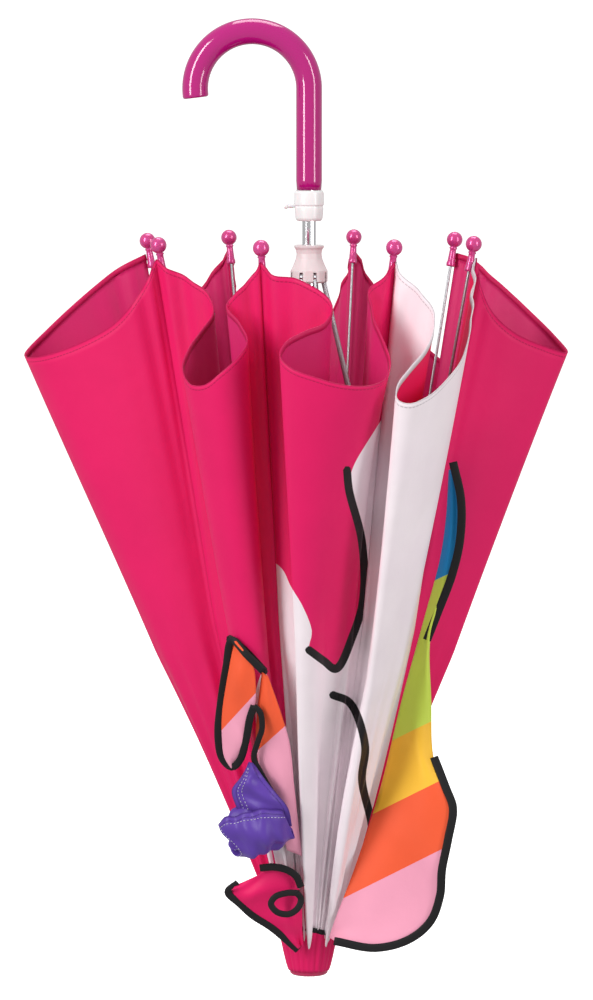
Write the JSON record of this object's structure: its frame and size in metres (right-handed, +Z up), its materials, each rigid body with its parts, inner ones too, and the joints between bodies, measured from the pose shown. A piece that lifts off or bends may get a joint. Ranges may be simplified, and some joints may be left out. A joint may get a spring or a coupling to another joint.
{
  "type": "children's umbrella",
  "caption": "Child's stick umbrella with a crook handle, ball-tipped folding ribs, sliding runner and a loosely closed pink canopy with coloured flaps.",
  "frame": {"origin": "top of the inner side of the crook, where a peg holds the umbrella", "axes": "+Z up along the shaft towards the handle, crook open towards -X, its bend in the XZ plane"},
  "size_m": [0.3411, 0.3234, 0.5951],
  "materials": {
    "handle_gloss": "glossy moulded",
    "white_plastic": "satin moulded",
    "pale_plastic": "satin moulded",
    "pearl_plastic": "pearly, slightly translucent",
    "chromed_shaft": "bright plated",
    "steel_wire": "plated",
    "pink_fabric": "plain woven polyester",
    "white_fabric": "plain woven polyester",
    "rainbow_fabric": "printed polyester with black binding",
    "purple_fabric": "satin"
  },
  "bodies": {
    "frame": {"shaft": "chromed_shaft", "crook_handle": "handle_gloss", "collar": "white_plastic", "crown_hub": "white_plastic", "crown_ring": "steel_wire", "tip_cap": "handle_gloss", "canopy_washer": "pink_fabric"},
    "button": {"release_button": "white_plastic"},
    "catch": {"open_catch": "steel_wire"},
    "runner": {"runner": "pale_plastic", "runner_ring": "steel_wire"},
    "rib_inner_1": {"rib_inner_1": "steel_wire"},
    "rib_outer_1": {"rib_outer_1": "steel_wire", "ball_tip_1": "pearl_plastic"},
    "stretcher_1": {"stretcher_1": "steel_wire"},
    "gore_1": {"gore_1": "pink_fabric"},
    "rib_inner_2": {"rib_inner_2": "steel_wire"},
    "rib_outer_2": {"rib_outer_2": "steel_wire", "ball_tip_2": "pearl_plastic"},
    "stretcher_2": {"stretcher_2": "steel_wire"},
    "gore_2": {"gore_2": "pink_fabric"},
    "rib_inner_3": {"rib_inner_3": "steel_wire"},
    "rib_outer_3": {"rib_outer_3": "steel_wire", "ball_tip_3": "pearl_plastic"},
    "stretcher_3": {"stretcher_3": "steel_wire"},
    "gore_3": {"gore_3": "pink_fabric"},
    "rib_inner_4": {"rib_inner_4": "steel_wire"},
    "rib_outer_4": {"rib_outer_4": "steel_wire", "ball_tip_4": "pearl_plastic"},
    "stretcher_4": {"stretcher_4": "steel_wire"},
    "gore_4": {"gore_4": "pink_fabric"},
    "rib_inner_5": {"rib_inner_5": "steel_wire"},
    "rib_outer_5": {"rib_outer_5": "steel_wire", "ball_tip_5": "pearl_plastic"},
    "stretcher_5": {"stretcher_5": "steel_wire"},
    "gore_5": {"gore_5": "pink_fabric", "mane_flap_left": "rainbow_fabric", "horn_flap": "purple_fabric", "ear_flap": "rainbow_fabric"},
    "rib_inner_6": {"rib_inner_6": "steel_wire"},
    "rib_outer_6": {"rib_outer_6": "steel_wire", "ball_tip_6": "pearl_plastic"},
    "stretcher_6": {"stretcher_6": "steel_wire"},
    "gore_6": {"gore_6": "pink_fabric"},
    "rib_inner_7": {"rib_inner_7": "steel_wire"},
    "rib_outer_7": {"rib_outer_7": "steel_wire", "ball_tip_7": "pearl_plastic"},
    "stretcher_7": {"stretcher_7": "steel_wire"},
    "gore_7": {"gore_7": "white_fabric"},
    "rib_inner_8": {"rib_inner_8": "steel_wire"},
    "rib_outer_8": {"rib_outer_8": "steel_wire", "ball_tip_8": "pearl_plastic"},
    "stretcher_8": {"stretcher_8": "steel_wire"},
    "gore_8": {"gore_8": "pink_fabric", "mane_flap_right": "rainbow_fabric"}
  },
  "joints": [
    {"name": "rib_1_swing", "type": "hinge", "parent": "frame", "child": "rib_inner_1", "pos_m": [0.04279, 0.00426, -0.5612], "axis": [-0.4848, 0.8746, 0], "range_deg": [-10.4, 55.6]},
    {"name": "rib_1_flex", "type": "hinge", "parent": "rib_inner_1", "child": "rib_outer_1", "pos_m": [0.08978, 0.03031, -0.35199], "axis": [-0.4848, 0.8746, 0], "range_deg": [-35, 8]},
    {"name": "stretcher_1_fold", "type": "hinge", "parent": "rib_inner_1", "child": "stretcher_1", "pos_m": [0.08978, 0.03031, -0.35199], "axis": [-0.4848, 0.8746, 0], "range_deg": [-112, 21.5]},
    {"name": "gore_1_spread", "type": "hinge", "parent": "frame", "child": "gore_1", "pos_m": [0.0351, 0, -0.5612], "axis": [-0.7826, 0.6225, 0], "range_deg": [-5, 26], "deforming": ["gore_1"]},
    {"name": "rib_2_swing", "type": "hinge", "parent": "frame", "child": "rib_inner_2", "pos_m": [0.03753, 0.00846, -0.5612], "axis": [-0.9613, 0.2756, 0], "range_deg": [-10.4, 55.6]},
    {"name": "rib_2_flex", "type": "hinge", "parent": "rib_inner_2", "child": "rib_outer_2", "pos_m": [0.05233, 0.06009, -0.35199], "axis": [-0.9613, 0.2756, 0], "range_deg": [-35, 8]},
    {"name": "stretcher_2_fold", "type": "hinge", "parent": "rib_inner_2", "child": "stretcher_2", "pos_m": [0.05233, 0.06009, -0.35199], "axis": [-0.9613, 0.2756, 0], "range_deg": [-112, 21.5]},
    {"name": "gore_2_spread", "type": "hinge", "parent": "frame", "child": "gore_2", "pos_m": [0.0351, 0, -0.5612], "axis": [-0.9936, -0.1132, 0], "range_deg": [-5, 26], "deforming": ["gore_2"]},
    {"name": "rib_3_swing", "type": "hinge", "parent": "frame", "child": "rib_inner_3", "pos_m": [0.03084, 0.00769, -0.5612], "axis": [-0.8746, -0.4848, 0], "range_deg": [-10.4, 55.6]},
    {"name": "rib_3_flex", "type": "hinge", "parent": "rib_inner_3", "child": "rib_outer_3", "pos_m": [0.00479, 0.05468, -0.35199], "axis": [-0.8746, -0.4848, 0], "range_deg": [-35, 8]},
    {"name": "stretcher_3_fold", "type": "hinge", "parent": "rib_inner_3", "child": "stretcher_3", "pos_m": [0.00479, 0.05468, -0.35199], "axis": [-0.8746, -0.4848, 0], "range_deg": [-112, 21.5]},
    {"name": "gore_3_spread", "type": "hinge", "parent": "frame", "child": "gore_3", "pos_m": [0.0351, 0, -0.5612], "axis": [-0.6225, -0.7826, 0], "range_deg": [-5, 26], "deforming": ["gore_3"]},
    {"name": "rib_4_swing", "type": "hinge", "parent": "frame", "child": "rib_inner_4", "pos_m": [0.02664, 0.00243, -0.5612], "axis": [-0.2756, -0.9613, 0], "range_deg": [-10.4, 55.6]},
    {"name": "rib_4_flex", "type": "hinge", "parent": "rib_inner_4", "child": "rib_outer_4", "pos_m": [-0.02499, 0.01723, -0.35199], "axis": [-0.2756, -0.9613, 0], "range_deg": [-35, 8]},
    {"name": "stretcher_4_fold", "type": "hinge", "parent": "rib_inner_4", "child": "stretcher_4", "pos_m": [-0.02499, 0.01723, -0.35199], "axis": [-0.2756, -0.9613, 0], "range_deg": [-112, 21.5]},
    {"name": "gore_4_spread", "type": "hinge", "parent": "frame", "child": "gore_4", "pos_m": [0.0351, 0, -0.5612], "axis": [0.1132, -0.9936, 0], "range_deg": [-5, 26], "deforming": ["gore_4"]},
    {"name": "rib_5_swing", "type": "hinge", "parent": "frame", "child": "rib_inner_5", "pos_m": [0.02741, -0.00426, -0.5612], "axis": [0.4848, -0.8746, 0], "range_deg": [-10.4, 55.6]},
    {"name": "rib_5_flex", "type": "hinge", "parent": "rib_inner_5", "child": "rib_outer_5", "pos_m": [-0.01958, -0.03031, -0.35199], "axis": [0.4848, -0.8746, 0], "range_deg": [-35, 8]},
    {"name": "stretcher_5_fold", "type": "hinge", "parent": "rib_inner_5", "child": "stretcher_5", "pos_m": [-0.01958, -0.03031, -0.35199], "axis": [0.4848, -0.8746, 0], "range_deg": [-112, 21.5]},
    {"name": "gore_5_spread", "type": "hinge", "parent": "frame", "child": "gore_5", "pos_m": [0.0351, 0, -0.5612], "axis": [0.7826, -0.6225, 0], "range_deg": [-5, 26], "deforming": ["gore_5", "mane_flap_left", "horn_flap", "ear_flap"]},
    {"name": "rib_6_swing", "type": "hinge", "parent": "frame", "child": "rib_inner_6", "pos_m": [0.03268, -0.00846, -0.5612], "axis": [0.9613, -0.2756, 0], "range_deg": [-10.4, 55.6]},
    {"name": "rib_6_flex", "type": "hinge", "parent": "rib_inner_6", "child": "rib_outer_6", "pos_m": [0.01787, -0.06009, -0.35199], "axis": [0.9613, -0.2756, 0], "range_deg": [-35, 8]},
    {"name": "stretcher_6_fold", "type": "hinge", "parent": "rib_inner_6", "child": "stretcher_6", "pos_m": [0.01787, -0.06009, -0.35199], "axis": [0.9613, -0.2756, 0], "range_deg": [-112, 21.5]},
    {"name": "gore_6_spread", "type": "hinge", "parent": "frame", "child": "gore_6", "pos_m": [0.0351, 0, -0.5612], "axis": [0.9936, 0.1132, 0], "range_deg": [-5, 26], "deforming": ["gore_6"]},
    {"name": "rib_7_swing", "type": "hinge", "parent": "frame", "child": "rib_inner_7", "pos_m": [0.03936, -0.00769, -0.5612], "axis": [0.8746, 0.4848, 0], "range_deg": [-10.4, 55.6]},
    {"name": "rib_7_flex", "type": "hinge", "parent": "rib_inner_7", "child": "rib_outer_7", "pos_m": [0.06541, -0.05468, -0.35199], "axis": [0.8746, 0.4848, 0], "range_deg": [-35, 8]},
    {"name": "stretcher_7_fold", "type": "hinge", "parent": "rib_inner_7", "child": "stretcher_7", "pos_m": [0.06541, -0.05468, -0.35199], "axis": [0.8746, 0.4848, 0], "range_deg": [-112, 21.5]},
    {"name": "gore_7_spread", "type": "hinge", "parent": "frame", "child": "gore_7", "pos_m": [0.0351, 0, -0.5612], "axis": [0.6225, 0.7826, 0], "range_deg": [-5, 26], "deforming": ["gore_7"]},
    {"name": "rib_8_swing", "type": "hinge", "parent": "frame", "child": "rib_inner_8", "pos_m": [0.04356, -0.00243, -0.5612], "axis": [0.2756, 0.9613, 0], "range_deg": [-10.4, 55.6]},
    {"name": "rib_8_flex", "type": "hinge", "parent": "rib_inner_8", "child": "rib_outer_8", "pos_m": [0.09519, -0.01723, -0.35199], "axis": [0.2756, 0.9613, 0], "range_deg": [-35, 8]},
    {"name": "stretcher_8_fold", "type": "hinge", "parent": "rib_inner_8", "child": "stretcher_8", "pos_m": [0.09519, -0.01723, -0.35199], "axis": [0.2756, 0.9613, 0], "range_deg": [-112, 21.5]},
    {"name": "gore_8_spread", "type": "hinge", "parent": "frame", "child": "gore_8", "pos_m": [0.0351, 0, -0.5612], "axis": [-0.1132, 0.9936, 0], "range_deg": [-5, 26], "deforming": ["gore_8", "mane_flap_right"]},
    {"name": "runner_travel", "type": "hinge", "parent": "stretcher_1", "child": "runner", "pos_m": [0.04279, 0.00426, -0.14277], "axis": [-0.4848, 0.8746, 0], "range_deg": [-10.4, 55.6]},
    {"name": "button_press", "type": "slide", "parent": "frame", "child": "button", "axis": [1, 0, 0], "range_m": [0, 0.0025], "stiffness_N_per_m": 300},
    {"name": "catch_out", "type": "slide", "parent": "frame", "child": "catch", "axis": [-1, 0, 0], "range_m": [0, 0.0022]}
  ],
  "couplings": [
    {"joint": "rib_1_flex", "follows": "rib_1_swing", "ratio": -0.61151},
    {"joint": "stretcher_1_fold", "follows": "rib_1_swing", "ratio": -2},
    {"joint": "gore_1_spread", "follows": "rib_1_swing", "ratio": 0.45},
    {"joint": "rib_2_swing", "follows": "rib_1_swing", "ratio": 1},
    {"joint": "rib_2_flex", "follows": "rib_1_swing", "ratio": -0.61151},
    {"joint": "stretcher_2_fold", "follows": "rib_1_swing", "ratio": -2},
    {"joint": "gore_2_spread", "follows": "rib_1_swing", "ratio": 0.45},
    {"joint": "rib_3_swing", "follows": "rib_1_swing", "ratio": 1},
    {"joint": "rib_3_flex", "follows": "rib_1_swing", "ratio": -0.61151},
    {"joint": "stretcher_3_fold", "follows": "rib_1_swing", "ratio": -2},
    {"joint": "gore_3_spread", "follows": "rib_1_swing", "ratio": 0.45},
    {"joint": "rib_4_swing", "follows": "rib_1_swing", "ratio": 1},
    {"joint": "rib_4_flex", "follows": "rib_1_swing", "ratio": -0.61151},
    {"joint": "stretcher_4_fold", "follows": "rib_1_swing", "ratio": -2},
    {"joint": "gore_4_spread", "follows": "rib_1_swing", "ratio": 0.45},
    {"joint": "rib_5_swing", "follows": "rib_1_swing", "ratio": 1},
    {"joint": "rib_5_flex", "follows": "rib_1_swing", "ratio": -0.61151},
    {"joint": "stretcher_5_fold", "follows": "rib_1_swing", "ratio": -2},
    {"joint": "gore_5_spread", "follows": "rib_1_swing", "ratio": 0.45},
    {"joint": "rib_6_swing", "follows": "rib_1_swing", "ratio": 1},
    {"joint": "rib_6_flex", "follows": "rib_1_swing", "ratio": -0.61151},
    {"joint": "stretcher_6_fold", "follows": "rib_1_swing", "ratio": -2},
    {"joint": "gore_6_spread", "follows": "rib_1_swing", "ratio": 0.45},
    {"joint": "rib_7_swing", "follows": "rib_1_swing", "ratio": 1},
    {"joint": "rib_7_flex", "follows": "rib_1_swing", "ratio": -0.61151},
    {"joint": "stretcher_7_fold", "follows": "rib_1_swing", "ratio": -2},
    {"joint": "gore_7_spread", "follows": "rib_1_swing", "ratio": 0.45},
    {"joint": "rib_8_swing", "follows": "rib_1_swing", "ratio": 1},
    {"joint": "rib_8_flex", "follows": "rib_1_swing", "ratio": -0.61151},
    {"joint": "stretcher_8_fold", "follows": "rib_1_swing", "ratio": -2},
    {"joint": "gore_8_spread", "follows": "rib_1_swing", "ratio": 0.45},
    {"joint": "runner_travel", "follows": "rib_1_swing", "ratio": 1}
  ]
}
